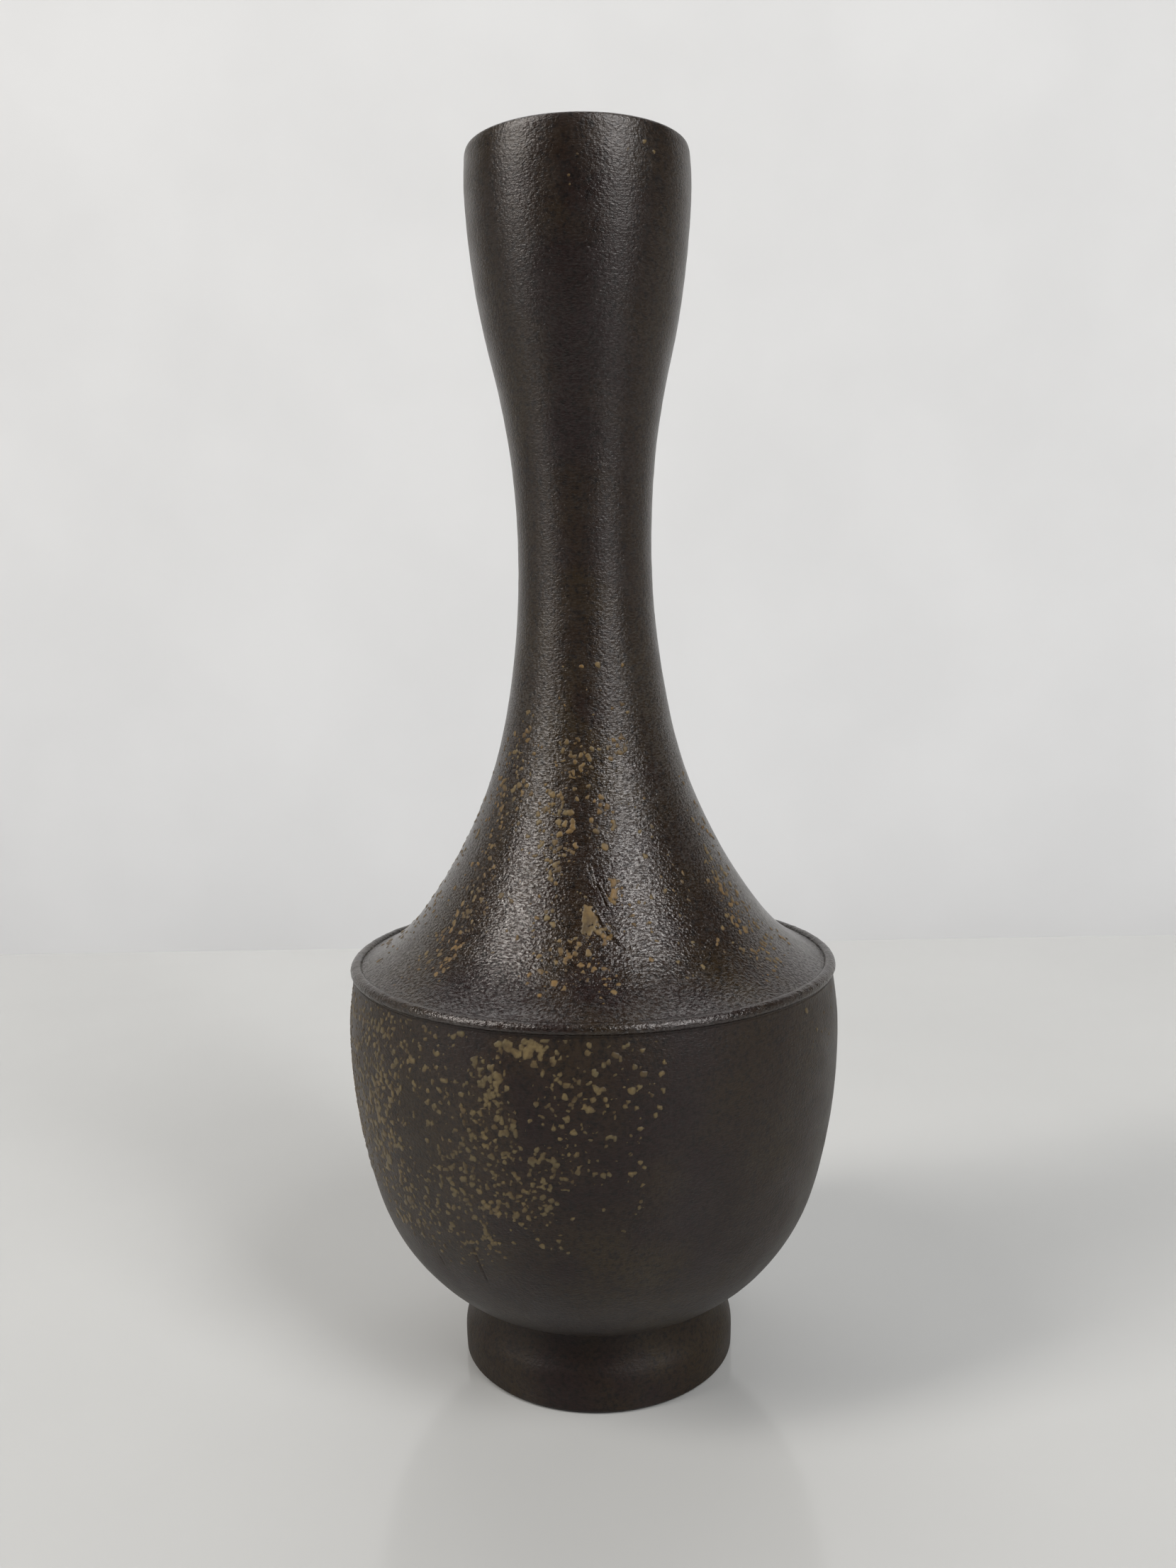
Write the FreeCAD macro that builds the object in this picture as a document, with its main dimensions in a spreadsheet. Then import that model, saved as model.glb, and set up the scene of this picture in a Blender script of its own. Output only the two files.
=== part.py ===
import FreeCAD, Part
import math
import os

import Sketcher

# A ceramic bud vase: a round-bottomed bowl on a turned foot ring, with a shoulder that sweeps up into a
# waisted neck and an open cup-shaped mouth. Potters throw such a vase in sections. The foot ring and the
# neck section are luted to the bowl with slip, a thin layer of wet clay, and a coil is worked over the
# edge of the shoulder. Drops of molten wood ash lie on the clay as small separate lenses.
# Frame: +Z up, origin at the centre of the standing face, millimetres. The front is towards -Y.

doc = FreeCAD.newDocument("bud_vase")

# ---------------------------------------------------------------- driving dimensions

SIZES = {
    "total_height": 250.0,
    # foot ring
    "foot_height": 15.85,
    "foot_radius": 29.2,
    "foot_belly_radius": 29.3,
    "foot_belly_level": 4.8,
    "foot_flank_radius": 28.0,
    "foot_flank_level": 9.4,
    "foot_top_radius": 26.5,
    "foot_bore_radius": 21.2,
    "foot_land_radius": 23.4,
    "foot_bevel": 0.7,
    "foot_inner_bevel_height": 2.2,
    # slip layers
    "slip_thickness": 0.4,
    "slip_setback": 0.4,
    # bowl
    "bowl_heel_radius": 34.35,
    "bowl_heel_rise": 4.2,
    "bowl_flank_radius": 47.2,
    "bowl_flank_level": 40.7,
    "bowl_widest_radius": 51.65,
    "bowl_widest_level": 73.0,
    "bowl_rim_radius": 50.9,
    "bowl_rim_level": 85.7,
    "bowl_wall": 4.6,
    "bowl_floor_level": 19.5,
    "bowl_bottom_drop": 2.8,
    "bowl_inner_heel_radius": 28.0,
    "bowl_inner_heel_rise": 3.2,
    "bowl_inner_flank_radius": 42.8,
    "bowl_inner_flank_level": 42.0,
    # coil over the edge of the shoulder
    "coil_outer_radius": 50.9,
    "coil_outer_rise": 0.75,
    "coil_foot_radius": 50.6,
    "crease_radius": 48.85,
    "crease_rise": 1.6,
    # outside of the neck section
    "cone_low_radius": 36.1,
    "cone_low_level": 97.5,
    "cone_high_radius": 25.1,
    "cone_high_level": 115.3,
    "throat_radius": 16.9,
    "throat_level": 139.65,
    "waist_radius": 13.65,
    "waist_level": 173.0,
    "flare_radius": 18.0,
    "flare_level": 209.5,
    "cup_radius": 22.4,
    "cup_level": 241.0,
    "lip_radius": 21.9,
    "lip_rounding": 0.9,
    # inside of the neck section
    "seat_inner_radius": 45.4,
    "bore_low_radius": 32.9,
    "bore_low_level": 94.9,
    "bore_high_radius": 21.6,
    "bore_high_level": 113.6,
    "bore_throat_radius": 13.3,
    "bore_throat_level": 138.9,
    "bore_waist_radius": 10.0,
    "bore_flare_radius": 14.7,
    "bore_flare_level": 210.3,
    "bore_cup_radius": 19.4,
    "bore_lip_radius": 19.1,
    # ash drops
    "drop_thickness": 0.25,
}

sheet = doc.addObject("Spreadsheet::Sheet", "sizes")
for row, (alias, value) in enumerate(SIZES.items(), start=1):
    sheet.set(f"A{row}", alias)
    sheet.set(f"B{row}", str(value))
    sheet.setAlias(f"B{row}", alias)
doc.recompute()


# ---------------------------------------------------------------- reading the sheet


def size(expression):
    """The value in mm of a sum or difference of the sheet's cells and plain numbers."""
    total = 0.0
    sign = 1.0
    for word in expression.split():
        if word in "+-":
            sign = -1.0 if word == "-" else 1.0
        elif word in SIZES:
            total += sign * sheet.get(word)
        else:
            total += sign * float(word)
    return total


def bound(expression):
    """The same sum as a FreeCAD expression, with each alias read from the sheet."""
    return " ".join(f"sizes.{word}" if word in SIZES else word for word in expression.split())


# ---------------------------------------------------------------- sketches of half sections


def curve_between(start, end, heading):
    """The arc from start to end that leaves start along heading: the arc, its end heading,
    and which of its ends, 1 or 2, is start."""
    side = FreeCAD.Vector(-heading.y, heading.x, 0)
    chord = end - start
    radius = chord.dot(chord) / (2 * chord.dot(side))
    centre = start + side * radius
    start_angle = math.atan2(start.y - centre.y, start.x - centre.x)
    end_angle = math.atan2(end.y - centre.y, end.x - centre.x)
    circle = Part.Circle(centre, FreeCAD.Vector(0, 0, 1), abs(radius))
    spoke = (end - centre) / radius
    end_heading = FreeCAD.Vector(-spoke.y, spoke.x, 0)
    if radius > 0:
        return Part.ArcOfCircle(circle, start_angle, end_angle), end_heading, 1
    return Part.ArcOfCircle(circle, end_angle, start_angle), end_heading, 2


def draw_half_section(body, name, corners, edges):
    """A closed outline on the body's XZ plane: corners by name as (radius, level) sums, and edges as
    (corner, corner, manner). A straight edge is a line. An upright or level edge is an arc that
    leaves its first corner that way, and a smooth edge is an arc that carries on from the edge before."""
    sketch = body.newObject("Sketcher::SketchObject", name)
    plane = next(item for item in body.Origin.OriginFeatures if item.Role == "XZ_Plane")
    sketch.AttachmentSupport = [(plane, "")]
    sketch.MapMode = "FlatFace"
    places = {
        corner: FreeCAD.Vector(size(radius), size(level), 0) for corner, (radius, level) in corners.items()
    }
    first_ends = {}
    previous = None
    heading = None
    for start, end, manner in edges:
        if manner == "straight":
            edge = sketch.addGeometry(Part.LineSegment(places[start], places[end]))
            ends = {start: 1, end: 2}
            heading = (places[end] - places[start]).normalize()
        else:
            step = places[end] - places[start]
            if manner == "upright":
                heading = FreeCAD.Vector(0, math.copysign(1, step.y), 0)
            elif manner == "level":
                heading = FreeCAD.Vector(math.copysign(1, step.x), 0, 0)
            arc, heading, start_side = curve_between(places[start], places[end], heading)
            edge = sketch.addGeometry(arc)
            ends = {start: start_side, end: 3 - start_side}
        if manner == "upright":
            sketch.addConstraint(Sketcher.Constraint("Horizontal", edge, 3, edge, ends[start]))
        elif manner == "level":
            sketch.addConstraint(Sketcher.Constraint("Vertical", edge, 3, edge, ends[start]))
        elif manner == "smooth":
            sketch.addConstraint(Sketcher.Constraint("Tangent", *previous, edge, ends[start]))
        for corner, side in ends.items():
            if corner not in first_ends:
                first_ends[corner] = (edge, side)
                pin_corner(sketch, corner, corners[corner], (edge, side))
            elif not (manner == "smooth" and corner == start):
                sketch.addConstraint(Sketcher.Constraint("Coincident", *first_ends[corner], edge, side))
        previous = (edge, ends[end])
    return sketch


def pin_corner(sketch, corner, sums, point):
    """Holds a corner at its radius and level, each bound to the sheet."""
    axes = (("DistanceX", "radius", -2), ("DistanceY", "level", -1))
    for (kind, word, axis), expression in zip(axes, sums):
        if size(expression) == 0:
            sketch.addConstraint(Sketcher.Constraint("PointOnObject", *point, axis))
            continue
        index = sketch.addConstraint(Sketcher.Constraint(kind, -1, 1, *point, size(expression)))
        sketch.renameConstraint(index, f"{corner}_{word}")
        sketch.setExpression(f"Constraints.{corner}_{word}", bound(expression))


# ---------------------------------------------------------------- turned bodies


def new_body(label):
    body = doc.addObject("PartDesign::Body", label)
    body.Label = label
    return body


def turn(body, kind, name, corners, edges):
    """Turns a half section about the vase's axis: kind is Revolution, which adds, or Groove, which cuts."""
    sketch = draw_half_section(body, f"{name}_outline", corners, edges)
    before = body.Shape.Volume if kind == "Groove" else 0.0
    feature = body.newObject(f"PartDesign::{kind}", name)
    feature.Profile = sketch
    feature.ReferenceAxis = (sketch, ["V_Axis"])
    feature.Angle = 360.0
    doc.recompute()
    if not sketch.FullyConstrained:
        raise RuntimeError(f"{name}: the outline is not fully constrained")
    if kind == "Groove" and body.Shape.Volume >= before:
        raise RuntimeError(f"{name}: the groove cuts nothing")
    return feature


def rounded_edges(body, base, name, radius_alias, radii, level):
    """A fillet on the circular edges at one level with the given radii."""
    names = []
    for number, edge in enumerate(base.Shape.Edges, start=1):
        box = edge.BoundBox
        flat = box.ZLength < 0.001 and abs(box.ZMin - size(level)) < 0.001
        if flat and any(abs(box.XMax - size(radius)) < 0.001 for radius in radii):
            names.append(f"Edge{number}")
    feature = body.newObject("PartDesign::Fillet", name)
    feature.Base = (base, names)
    feature.Radius = size(radius_alias)
    feature.setExpression("Radius", bound(radius_alias))
    doc.recompute()
    return feature


# ---------------------------------------------------------------- foot ring


def make_foot_ring():
    body = new_body("foot_ring")
    corners = {
        "tread_outer": ("foot_radius - foot_bevel", "0"),
        "bevel_top": ("foot_radius", "foot_bevel"),
        "belly": ("foot_belly_radius", "foot_belly_level"),
        "flank": ("foot_flank_radius", "foot_flank_level"),
        "top_outer": ("foot_top_radius", "foot_height"),
        "top_inner": ("foot_bore_radius", "foot_height"),
        "bore_low": ("foot_bore_radius", "foot_inner_bevel_height"),
        "tread_inner": ("foot_land_radius", "0"),
    }
    edges = [
        ("tread_inner", "tread_outer", "straight"),
        ("tread_outer", "bevel_top", "straight"),
        ("belly", "bevel_top", "upright"),
        ("belly", "flank", "upright"),
        ("top_outer", "flank", "upright"),
        ("top_outer", "top_inner", "straight"),
        ("top_inner", "bore_low", "straight"),
        ("bore_low", "tread_inner", "straight"),
    ]
    turn(body, "Revolution", "foot_turning", corners, edges)
    return body


# ---------------------------------------------------------------- slip layers


def make_slip_seam(label, inner, outer, level):
    """A flat ring of slip, set back a little from the outside of the joint that it fills."""
    body = new_body(label)
    top = f"{level} + slip_thickness"
    corners = {
        "low_inner": (inner, level),
        "low_outer": (f"{outer} - slip_setback", level),
        "high_outer": (f"{outer} - slip_setback", top),
        "high_inner": (inner, top),
    }
    edges = [
        ("low_inner", "low_outer", "straight"),
        ("low_outer", "high_outer", "straight"),
        ("high_outer", "high_inner", "straight"),
        ("high_inner", "low_inner", "straight"),
    ]
    turn(body, "Revolution", f"{label}_layer", corners, edges)
    return body


# ---------------------------------------------------------------- bowl


def make_bowl():
    body = new_body("bowl")
    seat = "foot_height + slip_thickness"
    corners = {
        "bottom": ("0", f"{seat} - bowl_bottom_drop"),
        "seat_inner": ("foot_bore_radius", seat),
        "seat_outer": ("foot_top_radius", seat),
        "heel": ("bowl_heel_radius", f"{seat} + bowl_heel_rise"),
        "flank": ("bowl_flank_radius", "bowl_flank_level"),
        "widest": ("bowl_widest_radius", "bowl_widest_level"),
        "rim": ("bowl_rim_radius", "bowl_rim_level"),
        "rim_centre": ("0", "bowl_rim_level"),
    }
    edges = [
        ("bottom", "seat_inner", "level"),
        ("seat_inner", "seat_outer", "straight"),
        ("widest", "flank", "upright"),
        ("flank", "heel", "smooth"),
        ("heel", "seat_outer", "smooth"),
        ("widest", "rim", "upright"),
        ("rim", "rim_centre", "straight"),
        ("rim_centre", "bottom", "straight"),
    ]
    turn(body, "Revolution", "bowl_outside", corners, edges)
    hollow_corners = {
        "floor": ("0", "bowl_floor_level"),
        "heel": ("bowl_inner_heel_radius", "bowl_floor_level + bowl_inner_heel_rise"),
        "flank": ("bowl_inner_flank_radius", "bowl_inner_flank_level"),
        "widest": ("bowl_widest_radius - bowl_wall", "bowl_widest_level"),
        "rim": ("bowl_rim_radius - bowl_wall", "bowl_rim_level"),
        "rim_centre": ("0", "bowl_rim_level"),
    }
    hollow_edges = [
        ("widest", "flank", "upright"),
        ("flank", "heel", "smooth"),
        ("floor", "heel", "level"),
        ("widest", "rim", "upright"),
        ("rim", "rim_centre", "straight"),
        ("rim_centre", "floor", "straight"),
    ]
    turn(body, "Groove", "bowl_hollow", hollow_corners, hollow_edges)
    return body


# ---------------------------------------------------------------- shoulder coil


SHOULDER_SEAT = "bowl_rim_level + slip_thickness"


def make_shoulder_coil():
    """The rounded coil that finishes the edge of the shoulder, a crease on its inside."""
    body = new_body("shoulder_coil")
    corners = {
        "foot_inner": ("crease_radius", SHOULDER_SEAT),
        "foot_outer": ("coil_foot_radius", SHOULDER_SEAT),
        "outermost": ("coil_outer_radius", f"{SHOULDER_SEAT} + coil_outer_rise"),
        "crease": ("crease_radius", f"{SHOULDER_SEAT} + crease_rise"),
    }
    edges = [
        ("foot_inner", "foot_outer", "straight"),
        ("outermost", "foot_outer", "upright"),
        ("outermost", "crease", "upright"),
        ("crease", "foot_inner", "straight"),
    ]
    turn(body, "Revolution", "coil_section", corners, edges)
    return body


# ---------------------------------------------------------------- neck section


def make_neck_section():
    """The shoulder cone, the waisted neck and the cup of the mouth, thrown as one piece."""
    body = new_body("neck_section")
    corners = {
        "seat_centre": ("0", SHOULDER_SEAT),
        "seat_outer": ("crease_radius", SHOULDER_SEAT),
        "crease": ("crease_radius", f"{SHOULDER_SEAT} + crease_rise"),
        "cone_low": ("cone_low_radius", "cone_low_level"),
        "cone_high": ("cone_high_radius", "cone_high_level"),
        "throat": ("throat_radius", "throat_level"),
        "waist": ("waist_radius", "waist_level"),
        "flare": ("flare_radius", "flare_level"),
        "cup": ("cup_radius", "cup_level"),
        "lip": ("lip_radius", "total_height"),
        "lip_centre": ("0", "total_height"),
    }
    edges = [
        ("seat_centre", "seat_outer", "straight"),
        ("seat_outer", "crease", "straight"),
        ("waist", "throat", "upright"),
        ("throat", "cone_high", "smooth"),
        ("cone_high", "cone_low", "smooth"),
        ("cone_low", "crease", "smooth"),
        ("waist", "flare", "upright"),
        ("flare", "cup", "smooth"),
        ("cup", "lip", "smooth"),
        ("lip", "lip_centre", "straight"),
        ("lip_centre", "seat_centre", "straight"),
    ]
    turn(body, "Revolution", "neck_outside", corners, edges)
    bore_corners = {
        "seat_centre": ("0", SHOULDER_SEAT),
        "seat_inner": ("seat_inner_radius", SHOULDER_SEAT),
        "cone_low": ("bore_low_radius", "bore_low_level"),
        "cone_high": ("bore_high_radius", "bore_high_level"),
        "throat": ("bore_throat_radius", "bore_throat_level"),
        "waist": ("bore_waist_radius", "waist_level"),
        "flare": ("bore_flare_radius", "bore_flare_level"),
        "cup": ("bore_cup_radius", "cup_level"),
        "lip": ("bore_lip_radius", "total_height"),
        "lip_centre": ("0", "total_height"),
    }
    bore_edges = [
        ("waist", "throat", "upright"),
        ("throat", "cone_high", "smooth"),
        ("cone_high", "cone_low", "smooth"),
        ("cone_low", "seat_inner", "smooth"),
        ("seat_inner", "seat_centre", "straight"),
        ("waist", "flare", "upright"),
        ("flare", "cup", "smooth"),
        ("cup", "lip", "smooth"),
        ("lip", "lip_centre", "straight"),
        ("lip_centre", "seat_centre", "straight"),
    ]
    bore = turn(body, "Groove", "neck_bore", bore_corners, bore_edges)
    rounded_edges(body, bore, "lip_round", "lip_rounding", ("lip_radius", "bore_lip_radius"), "total_height")
    return body


# ---------------------------------------------------------------- ash drops


def outer_surface_at(body, azimuth, level):
    """The outermost point of a body at a level and azimuth, and the outward normal there."""
    ray_length = 2 * size("bowl_widest_radius")
    outward = FreeCAD.Vector(math.cos(azimuth), math.sin(azimuth), 0)
    ray = Part.makeLine(FreeCAD.Vector(0, 0, level), outward * ray_length + FreeCAD.Vector(0, 0, level))
    hits = ray.common(body.Shape).Vertexes
    point = max((vertex.Point for vertex in hits), key=lambda place: place.dot(outward))
    reach = 0.5
    above = Part.makeLine(
        FreeCAD.Vector(0, 0, level + reach), outward * ray_length + FreeCAD.Vector(0, 0, level + reach)
    )
    high = max((vertex.Point for vertex in above.common(body.Shape).Vertexes), key=lambda p: p.dot(outward))
    slope = (high.dot(outward) - point.dot(outward)) / reach
    normal = (outward - FreeCAD.Vector(0, 0, slope)).normalize()
    return point, normal


def make_ash_drops(label, body, drops):
    """Lenses of molten ash on a body's outside, each (azimuth in degrees from the front, level, width)."""
    lenses = []
    for number, (from_front, level, width) in enumerate(drops, start=1):
        azimuth = math.radians(from_front - 90.0)
        point, normal = outer_surface_at(body, azimuth, level)
        lens = doc.addObject("Part::Ellipsoid", f"{label}_lens_{number}")
        lens.setExpression("Radius1", bound("drop_thickness"))
        lens.Radius2 = width / 2
        lens.Radius3 = width / 2
        lens.Placement = FreeCAD.Placement(point, FreeCAD.Rotation(FreeCAD.Vector(0, 0, 1), normal))
        lenses.append(lens)
    lump = doc.addObject("Part::MultiFuse", f"{label}_lumps")
    lump.Shapes = lenses
    trimmed = doc.addObject("Part::Cut", label)
    trimmed.Base = lump
    trimmed.Tool = body
    trimmed.Label = label
    doc.recompute()
    return trimmed


def scattered(count, low, high, left, right, narrowest, widest):
    """Evenly mixed places between two levels and two azimuths, by the golden ratio, with mixed widths."""
    golden = (math.sqrt(5) - 1) / 2
    places = []
    for index in range(count):
        along = (index + 0.5) / count
        across = (index * golden) % 1
        width = narrowest + (widest - narrowest) * ((index * golden * golden) % 1)
        places.append((left + (right - left) * across, low + (high - low) * along, width))
    return places


# ---------------------------------------------------------------- the vase, and its files

foot_ring = make_foot_ring()
foot_slip = make_slip_seam("foot_slip_seam", "foot_bore_radius", "foot_top_radius", "foot_height")
bowl = make_bowl()
shoulder_slip = make_slip_seam(
    "shoulder_slip_seam", "bowl_rim_radius - bowl_wall", "bowl_rim_radius", "bowl_rim_level"
)
shoulder_coil = make_shoulder_coil()
neck_section = make_neck_section()
bowl_drops = make_ash_drops("ash_drops_bowl", bowl, scattered(32, 36, 83, -78, 14, 2.0, 3.6))
shoulder_drops = make_ash_drops("ash_drops_shoulder", neck_section, scattered(20, 91, 136, -48, 26, 1.6, 2.8))
mouth_drops = make_ash_drops("ash_drops_mouth", neck_section, scattered(4, 224, 240, 4, 34, 1.2, 1.8))

pieces = [
    foot_ring,
    foot_slip,
    bowl,
    shoulder_slip,
    shoulder_coil,
    neck_section,
    bowl_drops,
    shoulder_drops,
    mouth_drops,
]

doc.recompute()
for item in doc.Objects:
    if "Invalid" in item.State or "Error" in item.State:
        raise RuntimeError(f"{item.Label} did not compute: {item.State}")
for piece in pieces:
    if piece.Shape.isNull() or not piece.Shape.isValid():
        raise RuntimeError(f"{piece.Label} has no valid shape")

os.makedirs("parts", exist_ok=True)
for piece in pieces:
    piece.Shape.exportStep(f"parts/{piece.Label}.step")
    box = piece.Shape.optimalBoundingBox(False)
    solids = len(piece.Shape.Solids)
    print(f"{piece.Label}: {solids} solid(s), {piece.Shape.Volume:.1f} mm3, z {box.ZMin:.2f} to {box.ZMax:.2f}")
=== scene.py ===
import math

import bpy
import numpy as np
from mathutils import Matrix, Vector


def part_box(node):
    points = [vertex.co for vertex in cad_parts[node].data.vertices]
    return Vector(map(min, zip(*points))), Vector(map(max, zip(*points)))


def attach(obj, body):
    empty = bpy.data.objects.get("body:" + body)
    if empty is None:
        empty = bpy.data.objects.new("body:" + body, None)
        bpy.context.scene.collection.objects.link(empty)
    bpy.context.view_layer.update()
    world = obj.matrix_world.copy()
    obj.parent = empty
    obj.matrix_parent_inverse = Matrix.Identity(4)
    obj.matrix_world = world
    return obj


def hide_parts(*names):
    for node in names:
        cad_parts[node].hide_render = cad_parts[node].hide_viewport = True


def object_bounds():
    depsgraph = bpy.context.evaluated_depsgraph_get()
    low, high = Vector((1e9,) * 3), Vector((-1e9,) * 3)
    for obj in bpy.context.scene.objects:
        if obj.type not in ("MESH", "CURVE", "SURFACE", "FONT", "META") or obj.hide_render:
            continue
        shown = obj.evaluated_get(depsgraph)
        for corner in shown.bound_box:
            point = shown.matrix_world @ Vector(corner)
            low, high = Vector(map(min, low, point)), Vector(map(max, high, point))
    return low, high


# A bud vase of dark unglazed stoneware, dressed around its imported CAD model. Every clay piece is turned
# again as a fine mesh from its CAD node's own section, with the marks of throwing and firing in it. The
# molten ash is a separate thin layer that lies on the clay. Metres, +Z up, the front towards -Y.

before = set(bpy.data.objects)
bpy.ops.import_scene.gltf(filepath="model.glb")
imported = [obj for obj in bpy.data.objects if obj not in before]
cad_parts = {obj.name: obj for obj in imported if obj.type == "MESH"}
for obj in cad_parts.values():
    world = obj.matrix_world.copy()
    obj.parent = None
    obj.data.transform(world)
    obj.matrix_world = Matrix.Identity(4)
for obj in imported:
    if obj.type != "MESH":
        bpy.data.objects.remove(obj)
cad_low, cad_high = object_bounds()

MM = 0.001
HEIGHT = cad_high[2]
TOUCHING = 0.01 * MM

# ---------------------------------------------------------------- noise


def scrambled(cell, seed):
    """A fixed large whole number for each point of an integer lattice, unlike its neighbours'."""
    x, y, z = (cell[..., axis].astype(np.int64) for axis in range(3))
    mixed = (x * 73856093) ^ (y * 19349663) ^ (z * 83492791) ^ (seed * 2654435761)
    return (mixed ^ (mixed >> 13)) * 1274126177 & 0x7FFFFFFF


def lattice_gradients(cell, seed):
    """A fixed random direction at each point of an integer lattice."""
    mixed = scrambled(cell, seed)
    parts = [((mixed >> shift) & 1023) / 511.5 - 1.0 for shift in (3, 11, 20)]
    return np.stack(parts, axis=-1)


def random_share(cell, seed):
    """A fixed random number from 0 to 1 for each point of an integer lattice."""
    mixed = scrambled(cell, seed)
    mixed = (mixed ^ (mixed >> 15)) * 668265263 & 0x7FFFFFFF
    return ((mixed >> 7) & 65535) / 65535.0


NOISE_GAIN = 1.4


def noise(points, size, seed):
    """Smooth gradient noise, about -1 to 1, whose features are about one size wide."""
    scaled = points / size
    cell = np.floor(scaled)
    inside = scaled - cell
    fade = inside**3 * (inside * (inside * 6 - 15) + 10)
    total = np.zeros(points.shape[:-1])
    for corner in np.ndindex(2, 2, 2):
        offset = np.array(corner)
        slopes = lattice_gradients(cell + offset, seed)
        weight = np.prod(np.where(offset == 1, fade, 1 - fade), axis=-1)
        total += weight * np.sum(slopes * (inside - offset), axis=-1)
    return total * NOISE_GAIN


def smooth_step(low, high, value):
    """0 below a low value and 1 above a high one, with an even slope at both."""
    share = np.clip((value - low) / (high - low), 0, 1)
    return share * share * (3 - 2 * share)


def bump(value, centre, width):
    """1 at a centre, and 0 far from it on either side."""
    return np.exp(-(((value - centre) / width) ** 2))


# ---------------------------------------------------------------- turned walls, read from the CAD nodes


def node_section(node):
    """Every vertex of a turned CAD node as (radius, height), with its normal in the same plane."""
    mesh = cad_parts[node].data
    count = len(mesh.vertices)
    places = np.empty(count * 3)
    normals = np.empty(count * 3)
    mesh.vertices.foreach_get("co", places)
    mesh.vertices.foreach_get("normal", normals)
    places = places.reshape(-1, 3)
    normals = normals.reshape(-1, 3)
    radius = np.hypot(places[:, 0], places[:, 1])
    spoke = places[:, :2] / np.maximum(radius, 1e-9)[:, None]
    outward = np.sum(normals[:, :2] * spoke, axis=1)
    return np.column_stack([radius, places[:, 2]]), np.column_stack([outward, normals[:, 2]])


class Wall:
    """A curve of radius and height along one side of a turned wall, through its CAD points in order: smooth
    except at corners. It faces the side to the right of its course if facing is 1, else the left."""

    KNOT_GAP = 0.35 * MM
    STEP = 0.05 * MM
    CORNER_COSINE = math.cos(math.radians(30))
    END_SPAN = 2.4 * MM
    END_GAP = 0.2 * MM

    def __init__(self, points, facing):
        knots = [points[0]]
        for point in points[1:]:
            if np.hypot(*(point - knots[-1])) > self.KNOT_GAP:
                knots.append(point)
        knots[-1] = points[-1]
        knots = np.array(knots)
        steps = np.diff(knots, axis=0)
        gaps = np.hypot(*steps.T)
        headings = steps / gaps[:, None]
        smooth = np.sum(headings[:-1] * headings[1:], axis=1) > self.CORNER_COSINE
        weights = (gaps[1:] / (gaps[:-1] + gaps[1:]))[:, None]
        middle = weights * headings[:-1] + (1 - weights) * headings[1:]
        leaving = headings.copy()
        arriving = headings.copy()
        leaving[1:][smooth] = middle[smooth]
        arriving[:-1][smooth] = middle[smooth]
        leaving[0] = 2 * headings[0] - arriving[0]
        arriving[-1] = 2 * headings[-1] - leaving[-1]
        knots_along = np.concatenate([[0], np.cumsum(gaps)])
        self.facing = facing
        self.length = knots_along[-1]
        self.along = np.linspace(0, self.length, int(self.length / self.STEP))
        index = np.clip(np.searchsorted(knots_along, self.along) - 1, 0, len(gaps) - 1)
        gap = gaps[index][:, None]
        share = (self.along - knots_along[index])[:, None] / gap
        self.curve = (
            (2 * share**3 - 3 * share**2 + 1) * knots[index]
            + (share**3 - 2 * share**2 + share) * gap * leaving[index]
            + (3 * share**2 - 2 * share**3) * knots[index + 1]
            + (share**3 - share**2) * gap * arriving[index]
        )

    def at(self, along):
        """Radius, height, and the normal's outward and upward shares, at lengths along the curve."""
        reach = self.STEP
        low = np.clip(along - reach, 0, self.length)
        high = np.clip(along + reach, 0, self.length)
        spread = self.radius(high) - self.radius(low)
        rise = self.height(high) - self.height(low)
        size = np.maximum(np.hypot(rise, spread), 1e-12)
        outward = self.facing * rise / size
        upward = -self.facing * spread / size
        return self.radius(along), self.height(along), outward, upward

    def radius(self, along):
        return np.interp(along, self.along, self.curve[:, 0])

    def height(self, along):
        return np.interp(along, self.along, self.curve[:, 1])

    def along_at_height(self, height):
        """Where a wall that climbs all the way passes a height."""
        return np.interp(height, self.curve[:, 1], self.along)

    def rows(self, spacing, fine=None):
        """Lengths along the curve for the rows of a mesh, closer near both ends. Fine is two heights and
        the closer spacing between them."""
        rows = np.linspace(0, self.length, round(self.length / spacing) + 1)
        end = min(self.END_SPAN, self.length / 3)
        spans = [(0, end, self.END_GAP), (self.length - end, self.length, self.END_GAP)]
        if fine is not None:
            low_height, high_height, fine_spacing = fine
            low = self.along_at_height(low_height)
            high = self.along_at_height(high_height)
            spans.append((low, high, fine_spacing))
        for low, high, gap in spans:
            rows = rows[(rows < low) | (rows > high)]
            rows = np.sort(np.concatenate([rows, np.linspace(low, high, round((high - low) / gap) + 1)]))
        return rows


FACING = 0.02
UNDERSIDE = -0.9


def climbing(points):
    """The points in the order of their heights."""
    return points[np.argsort(points[:, 1], kind="stable")]


def outer_wall(node, lowest=0.0):
    """The outside of a turned node from a height upwards, bottom first."""
    section, normal = node_section(node)
    outside = (normal[:, 0] > FACING) & (normal[:, 1] > UNDERSIDE)
    return Wall(climbing(section[outside & (section[:, 1] > lowest - TOUCHING)]), 1)


def inner_wall(node, start=None):
    """The inside of a turned node, bottom first, with a point of its own where it starts on the axis."""
    section, normal = node_section(node)
    points = climbing(section[normal[:, 0] < -FACING])
    if start is not None:
        points = np.vstack([start, points])
    return Wall(points, -1)


BEAD_OVERHANG = 0.38 * MM


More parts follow.
